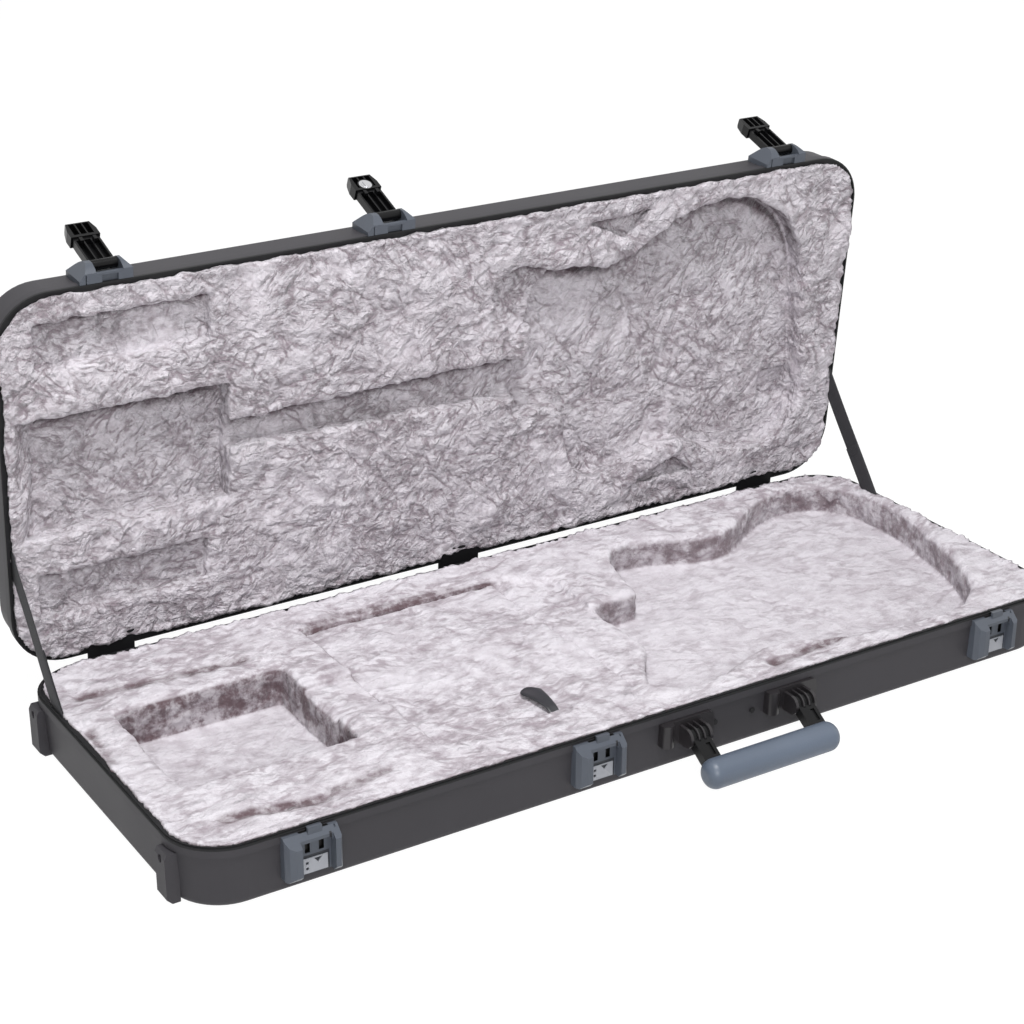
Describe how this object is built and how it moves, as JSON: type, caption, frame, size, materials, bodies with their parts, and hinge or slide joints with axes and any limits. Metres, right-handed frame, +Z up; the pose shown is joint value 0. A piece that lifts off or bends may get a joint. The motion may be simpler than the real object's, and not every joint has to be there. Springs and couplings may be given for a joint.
{
  "type": "guitar case",
  "caption": "Moulded rectangular hard case for an electric guitar, open, with plush guitar-shaped padding, a front handle, draw latches and stay straps.",
  "frame": {"origin": "centre of the base's flat underside", "axes": "+X along the case to the end that holds the guitar's body, -Y to the handle and latches, +Z up; the lid is open"},
  "size_m": [1.104, 0.5578, 0.5272],
  "materials": {
    "shell": "dark warm grey moulded shell, fine satin grain",
    "black_trim": "black valance and stops, satin",
    "plush": "silvery lilac crushed plush over foam",
    "black_webbing": "black woven webbing",
    "latch_housing": "blue-grey moulded latch housings",
    "lever_black": "black moulded levers and handle arms",
    "pale_catch": "pale grey wear plate",
    "dark_bracket": "dark grey handle brackets",
    "grip": "slate blue-grey soft grip",
    "black_metal": "black coated steel leaves",
    "steel": "plain steel pins and rivets",
    "chrome_lock": "chromed lock cylinder"
  },
  "bodies": {
    "base": {"base_shell": "shell", "base_valance": "black_trim", "base_liner": "plush", "hinge_base_leaf_left": "black_metal", "hinge_base_leaf_centre": "black_metal", "hinge_base_leaf_right": "black_metal", "hinge_pin_left": "steel", "hinge_pin_centre": "steel", "hinge_pin_right": "steel", "strap_left": "black_webbing", "strap_right": "black_webbing", "strap_rivets_base": "steel", "latch_receptacle_left": "latch_housing", "latch_receptacle_centre": "latch_housing", "latch_receptacle_right": "latch_housing", "latch_catch_left": "pale_catch", "latch_catch_centre": "pale_catch", "latch_catch_right": "pale_catch", "handle_bracket_left": "dark_bracket", "handle_bracket_right": "dark_bracket", "handle_pin_left": "steel", "handle_pin_right": "steel", "handle_stops": "black_trim"},
    "lid": {"lid_shell": "shell", "lid_valance": "black_trim", "lid_liner": "plush", "strap_rivets_lid": "steel", "hinge_lid_leaf_left": "black_metal", "hinge_lid_leaf_centre": "black_metal", "hinge_lid_leaf_right": "black_metal", "latch_bracket_left": "latch_housing", "latch_bracket_centre": "latch_housing", "latch_bracket_right": "latch_housing", "latch_pin_left": "steel", "latch_pin_centre": "steel", "latch_pin_right": "steel"},
    "lever_left": {"latch_lever_left": "lever_black"},
    "lever_centre": {"latch_lever_centre": "lever_black", "lock_housing": "chrome_lock"},
    "lever_right": {"latch_lever_right": "lever_black"},
    "lock": {"lock_plug": "chrome_lock"},
    "handle": {"handle_arm_left": "lever_black", "handle_arm_right": "lever_black", "handle_grip": "grip"},
    "compartment": {"compartment_lid": "plush", "pull_tab": "black_webbing"}
  },
  "joints": [
    {"name": "lid_hinge", "type": "hinge", "parent": "base", "child": "lid", "pos_m": [0, 0.2174, 0.0574], "axis": [-1, 0, 0], "range_deg": [-85.4, 0], "deforming": ["strap_left", "strap_right"]},
    {"name": "lever_left_pivot", "type": "hinge", "parent": "lid", "child": "lever_left", "pos_m": [-0.4195, 0.20957, 0.49759], "axis": [-1, 0, 0], "range_deg": [-165, 0]},
    {"name": "lever_centre_pivot", "type": "hinge", "parent": "lid", "child": "lever_centre", "pos_m": [-0.0955, 0.20957, 0.49759], "axis": [-1, 0, 0], "range_deg": [-162, 0]},
    {"name": "lever_right_pivot", "type": "hinge", "parent": "lid", "child": "lever_right", "pos_m": [0.436, 0.20957, 0.49759], "axis": [-1, 0, 0], "range_deg": [-165, 0]},
    {"name": "lock_turn", "type": "hinge", "parent": "lever_centre", "child": "lock", "pos_m": [-0.0955, 0.2585, 0.51796], "axis": [0, 0.3843, -0.9232], "range_deg": [0, 90]},
    {"name": "handle_swing", "type": "hinge", "parent": "base", "child": "handle", "pos_m": [0.0825, -0.225, 0.0405], "axis": [-1, 0, 0], "range_deg": [-48, 105]},
    {"name": "compartment_hinge", "type": "hinge", "parent": "base", "child": "compartment", "pos_m": [-0.12, 0.155, 0.057], "axis": [-1, 0, 0], "range_deg": [0, 90]}
  ]
}
